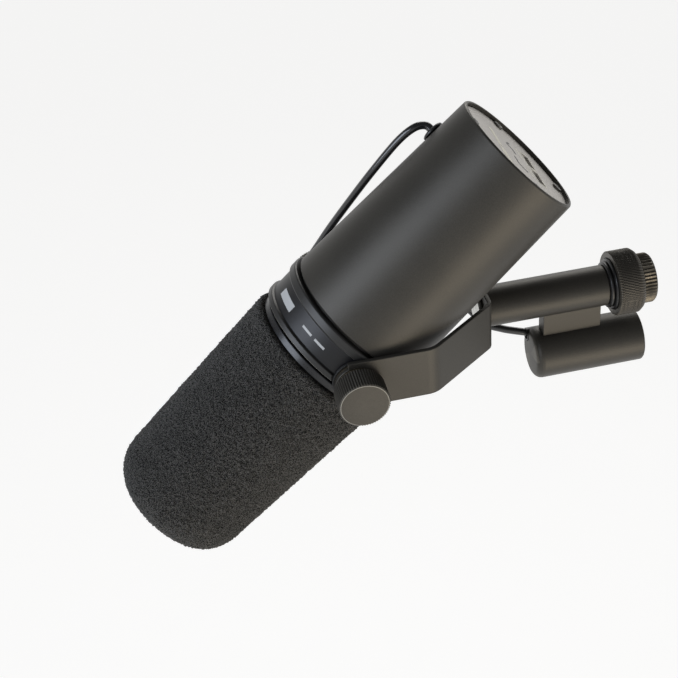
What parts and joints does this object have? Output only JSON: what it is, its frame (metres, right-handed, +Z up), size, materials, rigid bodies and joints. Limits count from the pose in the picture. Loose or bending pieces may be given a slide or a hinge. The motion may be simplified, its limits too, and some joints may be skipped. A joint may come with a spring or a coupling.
{
  "type": "broadcast microphone",
  "caption": "Broadcast microphone with a foam windscreen and round rear housing, tilting in a bent yoke on a stand tube with a captive nut and a plug socket beneath.",
  "frame": {"origin": "centre of the flat seat at the bottom of the stand thread", "axes": "+X out of the stand thread along the stand tube, +Y along the yoke pivot, +Z up; at rest the rear of the head is raised 42.9 degrees and the tip points down"},
  "size_m": [0.2128, 0.0892, 0.1698],
  "materials": {
    "dark_enamel": "fine-grained satin dark grey enamel",
    "band_enamel": "satin charcoal enamel",
    "gloss_black": "polished black",
    "foam": "open-cell charcoal foam",
    "panel_grey": "satin light grey enamel",
    "black_rubber": "matt black rubber",
    "cable_black": "smooth glossy black jacket",
    "steel": "satin plated steel",
    "brass": "turned brass",
    "bronzed": "darkened brass",
    "copper_wire": "enamelled copper winding",
    "circuit_board": "green board",
    "gold": "gold plated pins",
    "grille_steel": "dull plated steel",
    "black_plastic": "matt black plastic"
  },
  "bodies": {
    "mount": {"yoke": "dark_enamel", "yoke_bolt": "steel", "mount_tube": "dark_enamel", "tube_bushing": "black_rubber", "thread_seat": "steel", "bridge_block": "dark_enamel", "connector_housing": "dark_enamel", "connector_insert": "black_plastic", "connector_pin_1": "gold", "connector_pin_2": "gold", "connector_pin_3": "gold", "cable_boot": "black_rubber", "cable_yoke_side": "cable_black", "inner_brass_washer_left": "brass", "pivot_sleeve_left": "brass", "outer_brass_washer_left": "brass", "inner_brass_washer_right": "brass", "pivot_sleeve_right": "brass", "outer_brass_washer_right": "brass"},
    "head": {"grille_cage": "grille_steel", "grille_screen": "grille_steel", "front_collar": "gloss_black", "pivot_ring": "band_enamel", "rear_housing": "dark_enamel", "rear_panel": "panel_grey", "cable_grommet": "black_rubber", "cable_head_side": "cable_black", "panel_screw_1": "steel", "panel_screw_2": "steel", "panel_screw_3": "steel", "panel_screw_4": "steel", "cartridge_can": "grille_steel", "diaphragm": "black_plastic", "magnet": "steel", "pole_piece": "steel", "pop_filter": "foam", "hum_coil": "copper_wire", "rear_chamber": "black_plastic", "shock_mount_front": "black_rubber", "shock_mount_rear": "black_rubber", "filter_board": "circuit_board", "inductor_core": "steel", "inductor_coil": "copper_wire", "pivot_stud_left": "steel", "plastic_washer_left": "black_plastic", "pivot_stud_right": "steel", "plastic_washer_right": "black_plastic"},
    "windscreen": {"foam_windscreen": "foam"},
    "bass_slider": {"bass_switch": "black_plastic"},
    "presence_slider": {"presence_switch": "black_plastic"},
    "left_washers": {"lock_washer_left": "steel", "fitted_washer_left": "steel"},
    "left_knob": {"tightening_nut_left": "dark_enamel"},
    "right_washers": {"lock_washer_right": "steel", "fitted_washer_right": "steel"},
    "right_knob": {"tightening_nut_right": "dark_enamel"},
    "stand_nut": {"captive_nut": "dark_enamel", "thread_adapter": "bronzed"}
  },
  "joints": [
    {"name": "head_tilt", "type": "hinge", "parent": "mount", "child": "head", "pos_m": [-0.113, 0, 0], "axis": [0, 1, 0], "range_deg": [-85, 1.5]},
    {"name": "windscreen_pull", "type": "slide", "parent": "head", "child": "windscreen", "axis": [-0.7325, 0, -0.6807], "range_m": [0, 0.085]},
    {"name": "bass_switch_travel", "type": "slide", "parent": "head", "child": "bass_slider", "axis": [0, 1, 0], "range_m": [0, 0.004]},
    {"name": "presence_switch_travel", "type": "slide", "parent": "head", "child": "presence_slider", "axis": [0, 1, 0], "range_m": [0, 0.004]},
    {"name": "left_washers_slide", "type": "slide", "parent": "head", "child": "left_washers", "axis": [0, -1, 0], "range_m": [0, 0.001]},
    {"name": "left_knob_turn", "type": "hinge", "parent": "left_washers", "child": "left_knob", "pos_m": [-0.113, 0, 0], "axis": [0, -1, 0], "range_deg": [0, 450]},
    {"name": "right_washers_slide", "type": "slide", "parent": "head", "child": "right_washers", "axis": [0, 1, 0], "range_m": [0, 0.001]},
    {"name": "right_knob_turn", "type": "hinge", "parent": "right_washers", "child": "right_knob", "pos_m": [-0.113, 0, 0], "axis": [0, 1, 0], "range_deg": [0, 450]},
    {"name": "stand_nut_spin", "type": "hinge", "parent": "mount", "child": "stand_nut", "pos_m": [0, 0, 0], "axis": [1, 0, 0], "continuous": true}
  ],
  "couplings": [
    {"joint": "left_knob_turn", "follows": "left_washers_slide", "rad_per_m": 7854},
    {"joint": "right_knob_turn", "follows": "right_washers_slide", "rad_per_m": 7854}
  ]
}
